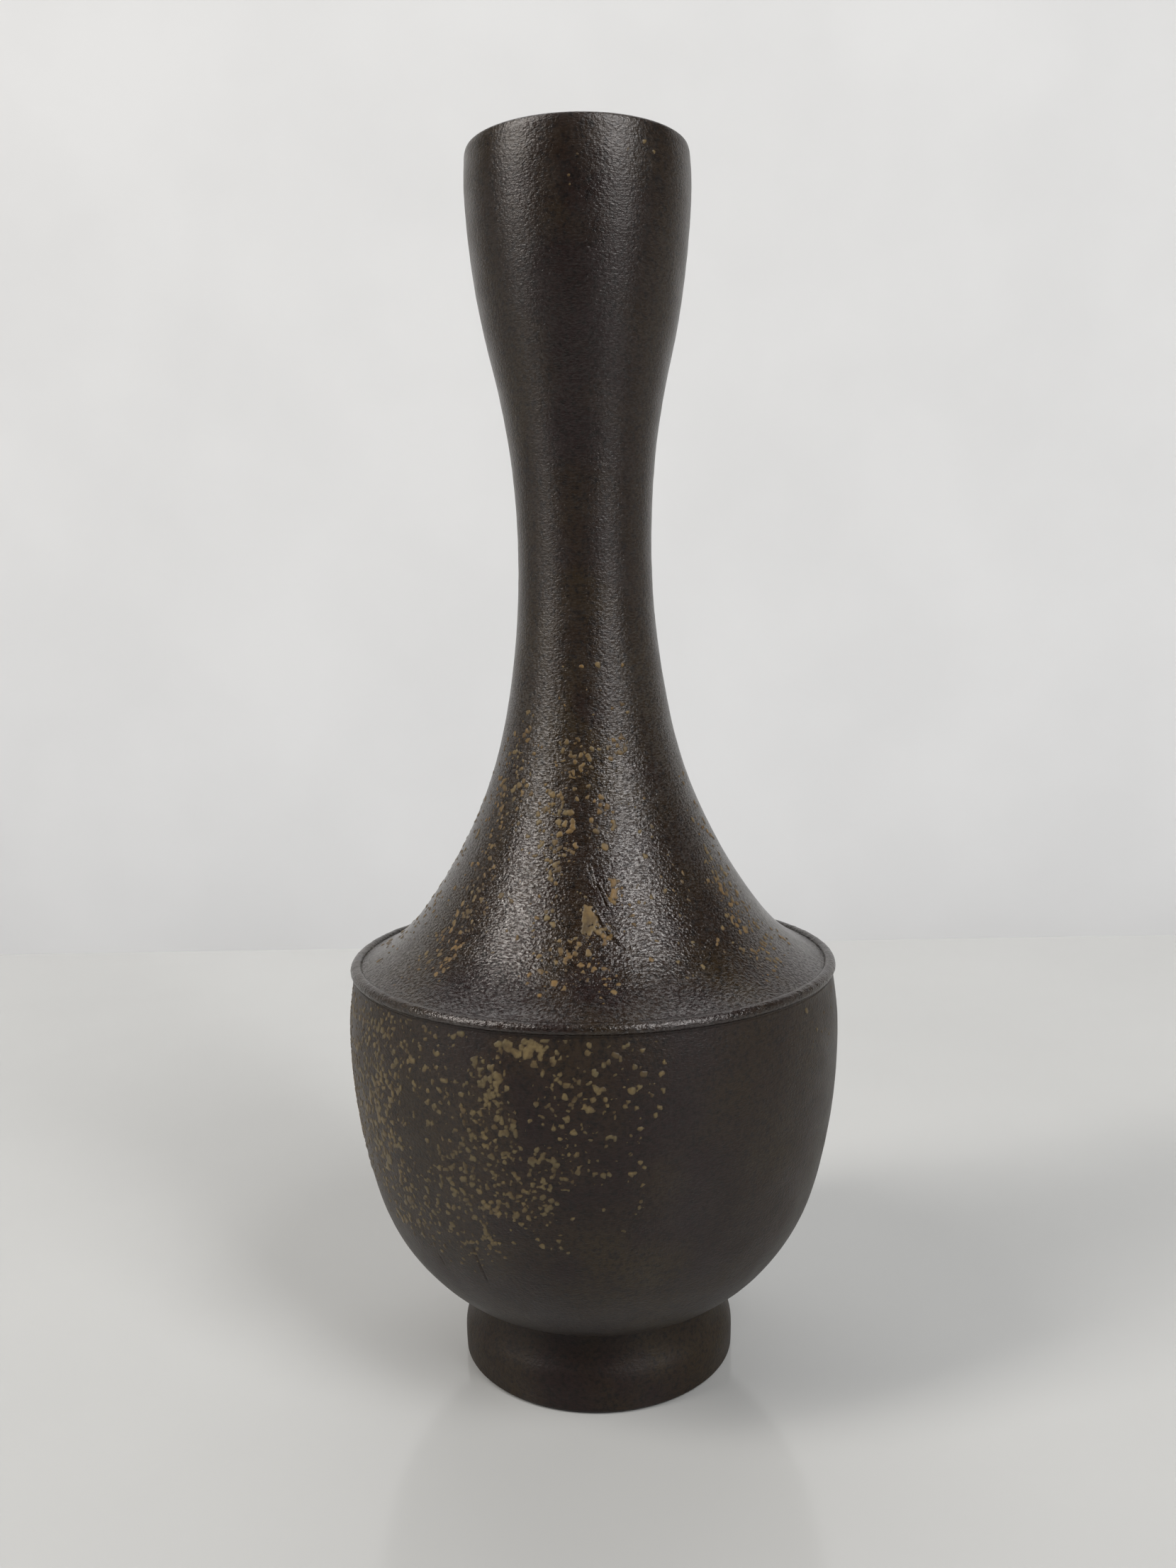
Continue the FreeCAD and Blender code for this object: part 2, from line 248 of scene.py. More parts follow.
def crown_wall(node):
    """The rounded top of a ring, from its tucked-in foot, out and over to its inner corner."""
    section, normal = node_section(node)
    low_inner = section.min(axis=0)
    outermost = section[np.argmax(section[:, 0])]
    over = ((normal[:, 0] > FACING) | (normal[:, 1] > FACING)) & (section[:, 1] >= outermost[1])
    points = section[over]
    angles = np.arctan2(points[:, 1] - low_inner[1], points[:, 0] - low_inner[0])
    points = points[np.argsort(angles, kind="stable")]
    return Wall(np.vstack([(outermost[0] - BEAD_OVERHANG, low_inner[1]), points]), 1)


# ---------------------------------------------------------------- the hand in the clay


SHOULDER_LEVEL = 0.35 * HEIGHT
SHOULDER_REACH = 0.07 * HEIGHT
NECK_LEAN = 0.5 * MM
DIP_BACKWARD = 0.010
DIP_RIGHTWARD = 0.002


def handmade(places):
    """Small errors of throwing and joining: the neck leans to the left and the shoulder dips to the
    back."""
    height = places[..., 2]
    lean = -NECK_LEAN * smooth_step(SHOULDER_LEVEL, HEIGHT, height)
    askew = bump(height, SHOULDER_LEVEL, SHOULDER_REACH) * smooth_step(0, 0.25 * HEIGHT, height)
    moved = places.copy()
    moved[..., 0] += lean
    moved[..., 2] -= askew * (DIP_BACKWARD * places[..., 1] + DIP_RIGHTWARD * places[..., 0])
    return moved


def throwing_marks(places):
    """Relief of the thrown clay: slow swells, and fine rings drawn out round the pot."""
    drawn_out = places * np.array([0.10, 0.10, 1.0])
    relief = 0.10 * MM * noise(places, 17 * MM, 11)
    relief += 0.035 * MM * noise(drawn_out, 3.1 * MM, 12)
    relief += 0.020 * MM * noise(drawn_out, 1.2 * MM, 13)
    return relief


# Strokes of a tool, each as (path, width, depth, height of its burr). A path is points of (degrees from
# the front, height), and every length is in mm.
GOUGES = [
    ([(-1.4, 112.6), (0.2, 110.4), (1.9, 107.6)], 0.17, 0.338, 0.09),
    ([(1.4, 109.6), (3.6, 107.8), (5.2, 105.4), (6.8, 103.6)], 0.20, 0.442, 0.12),
    ([(4.0, 109.3), (5.9, 107.2), (7.8, 105.2)], 0.16, 0.338, 0.09),
    ([(0.4, 105.0), (2.6, 102.6), (5.4, 100.2), (8.0, 98.8), (10.4, 97.2)], 0.20, 0.416, 0.12),
    ([(3.2, 104.6), (5.6, 102.2), (8.2, 100.2)], 0.15, 0.286, 0.06),
    ([(0.0, 114.2), (2.2, 113.2)], 0.14, 0.208, 0.05),
    ([(12.4, 113.6), (14.6, 113.3), (16.6, 112.6)], 0.15, 0.182, 0.05),
    ([(13.0, 94.2), (15.4, 94.5), (18.6, 93.9)], 0.15, 0.208, 0.05),
]
SCRATCHES = [
    ([(-29.5, 44.5), (-28.3, 38.5), (-27.2, 33.6)], 0.24, 0.182, 0.04),
    ([(-41.5, 37.8), (-40.6, 35.4)], 0.28, 0.182, 0.04),
]


def cut_strokes(azimuth, places, strokes):
    """Relief of ragged tool strokes that taper at both ends, each with a low burr along one side."""
    radius = np.hypot(places[..., 0], places[..., 1])
    height = places[..., 2] / MM
    wander = noise(places, 1.4 * MM, 18)
    relief = np.zeros(height.shape)
    for path, full_width, depth, burr_height in strokes:
        middle = path[len(path) // 2][1]
        scale = radius.flat[np.argmin(np.abs(height - middle))] / MM
        points = [np.array([math.radians(angle) * scale, level]) for angle, level in path]
        lengths = [np.hypot(*(end - start)) for start, end in zip(points[:-1], points[1:])]
        across = azimuth * scale
        nearest = np.full(height.shape, np.inf)
        side = np.zeros(height.shape)
        progress = np.zeros(height.shape)
        passed = 0.0
        for start, end, length in zip(points[:-1], points[1:], lengths):
            heading = (end - start) / length
            share = (across - start[0]) * heading[0] + (height - start[1]) * heading[1]
            share = np.clip(share, 0, length)
            gap_x = across - start[0] - share * heading[0]
            gap_z = height - start[1] - share * heading[1]
            gap = np.hypot(gap_x, gap_z)
            closer = gap < nearest
            nearest = np.where(closer, gap, nearest)
            side = np.where(closer, gap_z * heading[0] - gap_x * heading[1], side)
            progress = np.where(closer, (passed + share) / sum(lengths), progress)
            passed += length
        taper = smooth_step(0, 0.18, progress) * smooth_step(0, 0.3, 1 - progress)
        taper = taper * (0.85 + 0.25 * wander)
        width = full_width * (0.55 + 0.45 * taper)
        relief -= depth * MM * taper * bump(nearest, 0, width)
        relief += burr_height * MM * taper * bump(side, 1.5 * width, 0.8 * width) * (nearest < 4 * width)
    return relief


# ---------------------------------------------------------------- where ash settled

# Patches of (degrees from the front, height in mm, reach round in degrees, reach up in mm, cover).
BOWL_ASH = [
    (-57, 62, 13, 15, 0.72),
    (-51, 47, 14, 9, 0.42),
    (-52, 78, 12, 12, 0.50),
    (-62, 68, 17, 24, 0.50),
    (-46, 50, 14, 9, 0.34),
    (-80, 66, 26, 20, 0.38),
    (-108, 70, 26, 17, 0.18),
    (-16, 83.6, 7, 2.6, 0.86),
    (-22, 77, 5, 7, 0.70),
    (-21, 68, 7, 8, 0.62),
    (-17, 55, 9, 7, 0.52),
    (-29, 58, 10, 9, 0.44),
    (-34, 74, 10, 16, 0.20),
    (-30, 48, 14, 8, 0.28),
    (-7, 62, 9, 5, 0.34),
    (-4, 76, 12, 13, 0.20),
    (7, 77, 9, 10, 0.15),
    (6, 84, 9, 3, 0.20),
    (6, 60, 8, 14, 0.10),
    (-7, 49, 7, 7, 0.10),
    (-34, 40, 10, 5, 0.07),
    (40, 76, 5, 4, 0.03),
    (60, 80, 14, 7, 0.06),
]
CONE_ASH = [
    (-49, 103, 11, 16, 0.26),
    (-62, 116, 16, 22, 0.14),
    (-50, 128, 20, 14, 0.24),
    (-88, 108, 24, 22, 0.15),
    (-32, 108, 12, 20, 0.07),
    (-8, 96, 15, 6, 0.20),
    (-1, 102.5, 3.5, 3, 1.0),
    (3.5, 100.5, 4, 1.8, 0.95),
    (-6, 98, 7, 3, 0.45),
    (8.5, 108, 4, 3.5, 0.80),
    (14, 104, 6, 5, 0.20),
    (-13, 106, 11, 6, 0.13),
    (-17, 120, 13, 11, 0.32),
    (-9, 131, 15, 6, 0.30),
    (6, 120, 8, 6, 0.30),
    (2, 136, 10, 6, 0.18),
    (18, 134, 8, 4, 0.36),
    (24, 110, 14, 20, 0.09),
    (35, 110, 6, 9, 0.10),
    (60, 103, 12, 14, 0.30),
    (60, 96, 20, 7, 0.16),
    (68, 118, 14, 12, 0.14),
    (0, 145, 45, 7, 0.08),
]
MOUTH_ASH = [(1, 239.5, 9, 4.5, 0.12), (30, 243, 12, 5, 0.05)]


def ash_cover(azimuth, height, patches, places):
    """The share of the clay that ash covers: the most of any patch, each with a ragged edge."""
    ragged = 0.30 * noise(places, 9 * MM, 21) + 0.22 * noise(places, 4.5 * MM, 22)
    degrees = np.degrees(azimuth)
    cover = np.zeros(height.shape)
    for turn, level, reach_round, reach_up, share in patches:
        away = np.hypot((degrees - turn) / reach_round, (height / MM - level) / reach_up)
        cover = np.maximum(cover, share * (1 - smooth_step(0.45, 1.25, away + ragged)))
    return cover


# ---------------------------------------------------------------- meshes

SHARE_NAME = "ash_share"


def make_object(name, places, faces, material, share=None, sharp_angle=42):
    """A smooth-shaded object. A share from 0 to 1 for each of its points is kept for its material."""
    mesh = bpy.data.meshes.new(name)
    mesh.from_pydata(places.reshape(-1, 3).tolist(), [], faces)
    if share is not None:
        mesh.attributes.new(SHARE_NAME, "FLOAT", "POINT").data.foreach_set("value", share)
    mesh.validate()
    mesh.shade_smooth()
    mesh.set_sharp_from_angle(angle=math.radians(sharp_angle))
    mesh.materials.append(material)
    piece = bpy.data.objects.new(name, mesh)
    bpy.context.scene.collection.objects.link(piece)
    return piece


def around(count, fine_from=None, fine_to=None, fine_count=0):
    """Azimuths once round the pot, in radians from the front, denser between two of them."""
    even = np.linspace(-180, 180, count, endpoint=False)
    if fine_count:
        outside = even[(even < fine_from) | (even > fine_to)]
        even = np.sort(np.concatenate([outside, np.linspace(fine_from, fine_to, fine_count)]))
    return np.radians(even)


def spun(radius, height, azimuth):
    """Points of a section turned about the axis, one row for each section point."""
    turned_radius = np.asarray(radius)[:, None] + 0 * azimuth
    x = turned_radius * np.sin(azimuth)
    y = -turned_radius * np.cos(azimuth)
    z = np.asarray(height)[:, None] + 0 * azimuth
    return np.stack([x, y, z], axis=-1)


def wall_surface(wall, along, azimuth, relief):
    """The worked clay surface at lengths along a wall and azimuths, two arrays of one shape, and its
    undisturbed normals. The relief fades out at the wall's ends, where pieces meet."""
    radius, height, outward, upward = wall.at(along)
    places = np.stack([radius * np.sin(azimuth), -radius * np.cos(azimuth), height], axis=-1)
    normals = np.stack([outward * np.sin(azimuth), -outward * np.cos(azimuth), upward], axis=-1)
    fade = min(1.2 * MM, 0.15 * wall.length)
    ends = smooth_step(0, fade, along) * smooth_step(0, fade, wall.length - along)
    return places + normals * (ends * relief(azimuth, places))[..., None], normals


def wall_rows(wall, lengths, azimuth, relief):
    """Rows of points round the pot at lengths along a wall."""
    along, turned = np.meshgrid(lengths, azimuth, indexing="ij")
    return wall_surface(wall, along, turned, relief)[0]


def grid_faces(rows, columns, closed):
    """Quads between successive rows of points round the pot; closed joins the last row to the first."""
    faces = []
    for row in range(rows if closed else rows - 1):
        low = row * columns
        high = ((row + 1) % rows) * columns
        for column in range(columns):
            following = (column + 1) % columns
            faces.append((low + column, low + following, high + following, high + column))
    return faces


def turned_piece(name, azimuth, bands, material, patches=None):
    """A solid of revolution from bands of rows, in order round its section from the bottom and up the
    outside. A band is an array of rows of points. A section that starts and ends on the axis is capped."""
    rows = np.concatenate(bands)
    on_axis = np.hypot(rows[0, 0, 0], rows[0, 0, 1]) < 0.01 * MM
    columns = len(azimuth)
    if on_axis:
        bottom = rows[0].mean(axis=0)
        top = rows[-1].mean(axis=0)
        inner = rows[1:-1]
        faces = grid_faces(len(inner), columns, False)
        count = len(inner) * columns
        last = (len(inner) - 1) * columns
        for column in range(columns):
            following = (column + 1) % columns
            faces.append((count, following, column))
            faces.append((count + 1, last + column, last + following))
        places = np.concatenate([inner.reshape(-1, 3), [bottom, top]])
    else:
        faces = grid_faces(len(rows), columns, True)
        places = rows.reshape(-1, 3)
    share = None if patches is None else stain_share(places, patches)
    return make_object(name, handmade(places), faces, material, share)


def stain_share(places, patches):
    """How much ash lies about each point of the clay, which it stains a warmer brown."""
    azimuth = np.arctan2(places[:, 0], -places[:, 1])
    return ash_cover(azimuth, places[:, 2], patches, places)


def ring_rows(points, azimuth):
    """Plain rows at the corners of a section, given as (radius, height)."""
    radius, height = np.array(points).T
    return spun(radius, height, azimuth)


def no_relief(azimuth, places):
    return np.zeros(places.shape[:-1])


# ---------------------------------------------------------------- materials


def new_material(name):
    material = bpy.data.materials.new(name)
    material.use_nodes = True
    nodes = material.node_tree.nodes
    return material, nodes, material.node_tree.links, nodes["Principled BSDF"]


def object_coordinates(nodes, links, stretch=(1, 1, 1)):
    """Object coordinates in metres, stretched so that a pattern is finer along an axis."""
    coordinates = nodes.new("ShaderNodeTexCoord")
    mapping = nodes.new("ShaderNodeMapping")
    mapping.inputs["Scale"].default_value = stretch
    links.new(coordinates.outputs["Object"], mapping.inputs["Vector"])
    return mapping.outputs["Vector"]


def noise_texture(nodes, links, vector, size, detail, roughness=0.5):
    """Noise whose features are about one size wide, in metres."""
    texture = nodes.new("ShaderNodeTexNoise")
    texture.inputs["Scale"].default_value = 1.0 / size
    texture.inputs["Detail"].default_value = detail
    texture.inputs["Roughness"].default_value = roughness
    links.new(vector, texture.inputs["Vector"])
    return texture.outputs["Fac"]


def mapped(nodes, links, value, from_low, from_high, to_low, to_high):
    """A value between two limits, carried over between two others and held there beyond them."""
    ranger = nodes.new("ShaderNodeMapRange")
    ranger.inputs["From Min"].default_value = from_low
    ranger.inputs["From Max"].default_value = from_high
    ranger.inputs["To Min"].default_value = to_low
    ranger.inputs["To Max"].default_value = to_high
    links.new(value, ranger.inputs["Value"])
    return ranger.outputs["Result"]


def mixed_colour(nodes, links, share, first, second):
    """Colour between two, each a colour or another node's output."""
    mixer = nodes.new("ShaderNodeMix")
    mixer.data_type = "RGBA"
    links.new(share, mixer.inputs["Factor"])
    for socket, colour in ((mixer.inputs[6], first), (mixer.inputs[7], second)):
        if isinstance(colour, tuple):
            socket.default_value = (*colour, 1.0)
        else:
            links.new(colour, socket)
    return mixer.outputs[2]


def point_share(nodes):
    """The share kept for each point of a mesh, or 0 where a mesh has none."""
    node = nodes.new("ShaderNodeAttribute")
    node.attribute_name = SHARE_NAME
    return node.outputs["Fac"]


def arithmetic(nodes, links, operation, *values):
    """The result of a sum on other nodes' outputs."""
    node = nodes.new("ShaderNodeMath")
    node.operation = operation
    for socket, value in zip(node.inputs, values):
        links.new(value, socket)
    return node.outputs["Value"]


def part_of(nodes, links, vector, axis):
    """One of a vector's three parts."""
    split = nodes.new("ShaderNodeSeparateXYZ")
    links.new(vector, split.inputs["Vector"])
    return split.outputs[axis]


def bumped(nodes, links, height, depth, below=None):
    """A bump of the given depth in metres, laid over another one."""
    node = nodes.new("ShaderNodeBump")
    node.inputs["Strength"].default_value = 1.0
    node.inputs["Distance"].default_value = depth
    links.new(height, node.inputs["Height"])
    if below is not None:
        links.new(below, node.inputs["Normal"])
    return node.outputs["Normal"]


CLAY_BROWN = (0.0115, 0.0052, 0.0045)
# Olive for the clay's clouds, and also for the painted sheen of the side lights on the flanks.
CLAY_OLIVE_AND_SIDE_SHEEN = (0.0240, 0.0150, 0.0058)
CLAY_PURPLE = (0.0115, 0.0048, 0.0052)
CLAY_SPECK = (0.0030, 0.0018, 0.0016)
CLAY_STAINED = (0.0240, 0.0138, 0.0070)
IRON_SHEEN = (1.0, 0.955, 0.93, 1.0)

# The neck is more matt than the cone below it, and its skin is smoother.
MATT_FROM = 0.43 * HEIGHT
MATT_TO = 0.58 * HEIGHT
NECK_DULLNESS = 0.11
SMOOTH_FROM = 0.52 * HEIGHT
SMOOTH_TO = 0.66 * HEIGHT
NECK_SKIN = 0.70
NECK_GRAIN = 0.3


def painted_side_sheen_share(nodes, links):
    """How far the surface faces left or right, where the flanks are painted olive-brown as a painted sheen
    of the side lights.
    """
    coordinates = nodes.new("ShaderNodeTexCoord")
    return arithmetic(nodes, links, "ABSOLUTE", part_of(nodes, links, coordinates.outputs["Normal"], "X"))


def sheen_range(specular, grain):
    """Least and greatest specular level of a skin whose pits are duller than its ridges. Grain is 0 for an
    even skin and 1 for the most uneven one."""
    return (1 - 0.55 * grain) * specular, (1 + 0.85 * grain) * specular


def clay_material(name, roughness, skin_depth, specular, grain, has_neck=False):
    """Vitrified unglazed stoneware: dark purple-brown with olive clouds, and a painted olive sheen on the
    flanks that face the side lights, under a fine leathery skin that throwing has drawn out round the pot."""
    material, nodes, links, shader = new_material(name)
    plain = object_coordinates(nodes, links)
    drawn_out = object_coordinates(nodes, links, (1.0, 1.0, 2.8))
    clouds = mapped(nodes, links, noise_texture(nodes, links, plain, 26 * MM, 3), 0.40, 0.66, 0, 1)
    colour = mixed_colour(nodes, links, clouds, CLAY_BROWN, CLAY_OLIVE_AND_SIDE_SHEEN)
    blush = mapped(nodes, links, noise_texture(nodes, links, plain, 11 * MM, 4), 0.50, 0.72, 0, 0.8)
    colour = mixed_colour(nodes, links, blush, colour, CLAY_PURPLE)
    # Painted sheen: the flanks that face the side lights are painted more olive.
    painted_side_sheen = mapped(nodes, links, painted_side_sheen_share(nodes, links), 0.35, 0.9, 0, 0.75)
    colour = mixed_colour(nodes, links, painted_side_sheen, colour, CLAY_OLIVE_AND_SIDE_SHEEN)
    stain = mapped(nodes, links, point_share(nodes), 0.05, 0.5, 0, 0.75)
    colour = mixed_colour(nodes, links, stain, colour, CLAY_STAINED)
    speckle = noise_texture(nodes, links, plain, 0.9 * MM, 3, 0.65)
    speckle = mapped(nodes, links, speckle, 0.46, 0.66, 0, 0.9)
    colour = mixed_colour(nodes, links, speckle, colour, CLAY_SPECK)
    links.new(colour, shader.inputs["Base Color"])
    worn = noise_texture(nodes, links, plain, 7 * MM, 4)
    dullness = mapped(nodes, links, worn, 0.3, 0.7, roughness - 0.05, roughness + 0.06)
    ripple = noise_texture(nodes, links, drawn_out, 0.80 * MM, 3, 0.55)
    peel = noise_texture(nodes, links, plain, 0.58 * MM, 2)
    pit_sheen, ridge_sheen = sheen_range(specular, grain)
    polish = mapped(nodes, links, ripple, 0.42, 0.60, pit_sheen, ridge_sheen)
    links.new(polish, shader.inputs["Specular IOR Level"])
    shader.inputs["Specular Tint"].default_value = IRON_SHEEN
    if has_neck:
        level = part_of(nodes, links, plain, "Z")
        matt = mapped(nodes, links, level, MATT_FROM, MATT_TO, 0, NECK_DULLNESS)
        dullness = arithmetic(nodes, links, "ADD", dullness, matt)
        neck_pit, neck_ridge = sheen_range(specular, NECK_GRAIN)
        pits = mapped(nodes, links, level, SMOOTH_TO, SMOOTH_FROM, neck_pit, pit_sheen)
        ridges = mapped(nodes, links, level, SMOOTH_TO, SMOOTH_FROM, neck_ridge, ridge_sheen)
        links.new(pits, polish.node.inputs["To Min"])
        links.new(ridges, polish.node.inputs["To Max"])
        strength = mapped(nodes, links, level, SMOOTH_TO, SMOOTH_FROM, NECK_SKIN, 1)
        ripple = arithmetic(nodes, links, "MULTIPLY", ripple, strength)
        peel = arithmetic(nodes, links, "MULTIPLY", peel, strength)
    links.new(dullness, shader.inputs["Roughness"])
    normal = bumped(nodes, links, ripple, skin_depth)
    normal = bumped(nodes, links, peel, skin_depth, normal)
    links.new(normal, shader.inputs["Normal"])
    return material


ASH_OCHRE = (0.165, 0.097, 0.033)
ASH_KHAKI = (0.148, 0.108, 0.050)
ASH_OLIVE = (0.110, 0.086, 0.044)
ASH_THIN = (0.062, 0.041, 0.021)
ASH_EDGE = (0.030, 0.019, 0.010)


def ash_material(name, first, second):
    """Molten wood ash in two tints, semi-matt, faint where it is thin and browner towards its edges."""
    material, nodes, links, shader = new_material(name)
    plain = object_coordinates(nodes, links)
    tint = mapped(nodes, links, noise_texture(nodes, links, plain, 6 * MM, 3), 0.38, 0.62, 0, 1)
    colour = mixed_colour(nodes, links, tint, first, second)
    faint = mapped(nodes, links, noise_texture(nodes, links, plain, 2.6 * MM, 2), 0.46, 0.70, 0, 0.9)
    colour = mixed_colour(nodes, links, faint, colour, ASH_THIN)
    mottled = mapped(nodes, links, noise_texture(nodes, links, plain, 0.7 * MM, 3), 0.48, 0.72, 0, 0.6)
    colour = mixed_colour(nodes, links, mottled, colour, ASH_THIN)
    colour = mixed_colour(nodes, links, point_share(nodes), ASH_EDGE, colour)
    links.new(colour, shader.inputs["Base Color"])
    shader.inputs["Roughness"].default_value = 0.45
    shader.inputs["Specular IOR Level"].default_value = 0.28
    grain = noise_texture(nodes, links, plain, 0.6 * MM, 2)
    links.new(bumped(nodes, links, grain, 0.06 * MM), shader.inputs["Normal"])
    return material


gloss_clay = clay_material("gloss_clay", roughness=0.21, skin_depth=0.13 * MM, specular=0.5, grain=1.0,
                           has_neck=True)
bead_clay = clay_material("bead_clay", roughness=0.26, skin_depth=0.13 * MM, specular=0.6, grain=0.4)
bowl_clay = clay_material("bowl_clay", roughness=0.44, skin_depth=0.09 * MM, specular=0.38, grain=0.12)
foot_clay = clay_material("foot_clay", roughness=0.52, skin_depth=0.06 * MM, specular=0.3, grain=0.08)
cone_ash = ash_material("ochre_ash", ASH_OCHRE, ASH_KHAKI)
bowl_ash = ash_material("khaki_ash", ASH_KHAKI, ASH_OLIVE)

# ---------------------------------------------------------------- clay pieces

SLIP_SHY = 0.06 * MM
BEAD_PLUMPNESS = 0.22 * MM
TUCK_FROM = 0.30 * HEIGHT
TUCK_TO = 0.344 * HEIGHT

# Bands of height where tool strokes need closer rows: (low, high, spacing).
SCRATCHED = (33 * MM, 46 * MM, 0.22 * MM)
GOUGED = (92 * MM, 115 * MM, 0.23 * MM)


def level_radius(node, height, choose):
    """The radius of a turned node's corner at a height: choose is max, the outermost, or min."""
    section, _ = node_section(node)
    return choose(section[np.abs(section[:, 1] - height) < TOUCHING, 0])


def replace_node(piece, node):
    """Shows a piece in place of its CAD node."""
    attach(piece, "root")
    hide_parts(node)


def foot_relief(azimuth, places):
    """Faint marks of throwing: the foot was turned smooth."""
    return 0.35 * throwing_marks(places)


def bowl_relief(azimuth, places):
    """Marks of throwing, rings left below the shoulder by the last turning, and two old scratches."""
    shoulder = smooth_step(0.27 * HEIGHT, 0.34 * HEIGHT, places[..., 2])
    side = smooth_step(math.radians(12), math.radians(50), np.abs(azimuth - math.radians(5)))
    rings = noise(places * np.array([0.03, 0.03, 1.0]), 1.1 * MM, 14)
    relief = 0.8 * throwing_marks(places) + 0.045 * MM * rings * shoulder * side
    return relief + cut_strokes(azimuth, places, SCRATCHES)


def coil_relief(azimuth, places):
    """A plump bead, pinched a little unevenly."""
    pinches = noise(places, 2.6 * MM, 15) + noise(places, 1.1 * MM, 19)
    return BEAD_PLUMPNESS + 0.5 * throwing_marks(places) + 0.06 * MM * pinches


def neck_relief(azimuth, places):
    """Marks of throwing, coarser rings in the cup of the mouth, and tool strokes on the front of the
    cone."""
    cup = smooth_step(0.82 * HEIGHT, 0.92 * HEIGHT, places[..., 2])
    rings = noise(places * np.array([0.12, 0.12, 1.0]), 2.6 * MM, 16)
    relief = throwing_marks(places) + 0.05 * MM * rings * cup
    return relief + cut_strokes(azimuth, places, GOUGES)


def inside_relief(azimuth, places):
    """The finger marks that are never turned away inside a pot."""
    rings = noise(places * np.array([0.15, 0.15, 1.0]), 6 * MM, 17)
    return 0.16 * MM * rings + throwing_marks(places)


def make_foot_ring():
    azimuth = around(300)
    outside = outer_wall("foot_ring")
    bore = inner_wall("foot_ring")
    bands = [
        wall_rows(outside, outside.rows(0.7 * MM), azimuth, foot_relief),
        wall_rows(bore, bore.rows(0.9 * MM), azimuth, foot_relief)[::-1],
    ]
    piece = turned_piece("foot_ring_clay", azimuth, bands, foot_clay)
    replace_node(piece, "foot_ring")


def make_slip_seam(name, node, low_piece, high_piece):
    """A layer of slip, wiped nearly flush with the clay pieces below and above it."""
    low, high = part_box(node)
    section, _ = node_section(node)
    inner = section[:, 0].min()
    low_outer = level_radius(low_piece, low[2], max) - SLIP_SHY
    high_outer = level_radius(high_piece, high[2], max) - SLIP_SHY
    if node == "shoulder_slip_seam":
        low_outer -= BEAD_OVERHANG
        high_outer = low_outer
    azimuth = around(240)
    corners = [(inner, low[2]), (low_outer, low[2]), (high_outer, high[2]), (inner, high[2])]
    piece = turned_piece(name, azimuth, [ring_rows(corners, azimuth)], bowl_clay)
    replace_node(piece, node)


def make_bowl():
    azimuth = around(260, -44, -24, 84)
    section, _ = node_section("bowl")
    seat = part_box("foot_slip_seam")[1][2]
    outside = outer_wall("bowl", seat)
    outside.curve[:, 0] -= BEAD_OVERHANG * smooth_step(TUCK_FROM, TUCK_TO, outside.curve[:, 1])
    inside = inner_wall("bowl", (0, section[section[:, 0] < TOUCHING, 1].max()))
    recess_edge = level_radius("bowl", seat, min)
    recess = section[(section[:, 0] < recess_edge + TOUCHING) & (section[:, 1] < seat + TOUCHING)]
    recess_wall = Wall(recess[np.argsort(recess[:, 0], kind="stable")], 1)
    bands = [
        wall_rows(recess_wall, recess_wall.rows(1.2 * MM), azimuth, inside_relief),
        wall_rows(outside, outside.rows(0.6 * MM, SCRATCHED), azimuth, bowl_relief),
        wall_rows(inside, inside.rows(2.4 * MM), azimuth, inside_relief)[::-1],
    ]
    piece = turned_piece("bowl_clay", azimuth, bands, bowl_clay, BOWL_ASH)
    replace_node(piece, "bowl")
    return outside


def make_shoulder_coil():
    azimuth = around(640)
    crown = crown_wall("shoulder_coil")
    low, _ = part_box("shoulder_coil")
    section, _ = node_section("shoulder_coil")
    bands = [
        wall_rows(crown, crown.rows(0.2 * MM), azimuth, coil_relief),
        ring_rows([(section[:, 0].min(), low[2])], azimuth),
    ]
    piece = turned_piece("shoulder_coil_clay", azimuth, bands, bead_clay)
    replace_node(piece, "shoulder_coil")


def make_neck_section():
    azimuth = around(180, -4, 20, 96)
    section, _ = node_section("neck_section")
    coil, _ = node_section("shoulder_coil")
    crease_radius = coil[:, 0].min()
    crease_level = coil[coil[:, 0] < crease_radius + TOUCHING, 1].max()
    outside = outer_wall("neck_section", crease_level + 0.05 * MM)
    inside = inner_wall("neck_section")
    bands = [
        ring_rows([(crease_radius, section[:, 1].min()), (crease_radius, crease_level)], azimuth),
        wall_rows(outside, outside.rows(1.2 * MM, GOUGED), azimuth, neck_relief),
        wall_rows(inside, inside.rows(3.0 * MM), azimuth, inside_relief)[::-1],
    ]
    piece = turned_piece("neck_clay", azimuth, bands, gloss_clay, CONE_ASH)
    replace_node(piece, "neck_section")
    return outside


make_foot_ring()
make_slip_seam("foot_slip", "foot_slip_seam", "foot_ring", "bowl")
bowl_outside = make_bowl()
make_slip_seam("shoulder_slip", "shoulder_slip_seam", "bowl", "shoulder_coil")
make_shoulder_coil()
neck_outside = make_neck_section()

# ---------------------------------------------------------------- fused ash

ASH_GRID = 0.245 * MM
ASH_THICKNESS = 0.11 * MM
ASH_ROUNDING = 0.22 * MM
ASH_EDGE_SINK = 0.02 * MM
ASH_ROOT = 0.22 * MM
ASH_MARGIN = 1.3

# Drops lie one to a cell of space. Sizes are shares of a cell.
ASH_CELL = 1.08 * MM
ASH_MERGE = 0.07 * MM
ASH_WOBBLE = 0.42 * MM
DROPS_PER_COVER = 3.3
SMALLEST_DROP = 0.24
DROP_SPREAD = 0.38


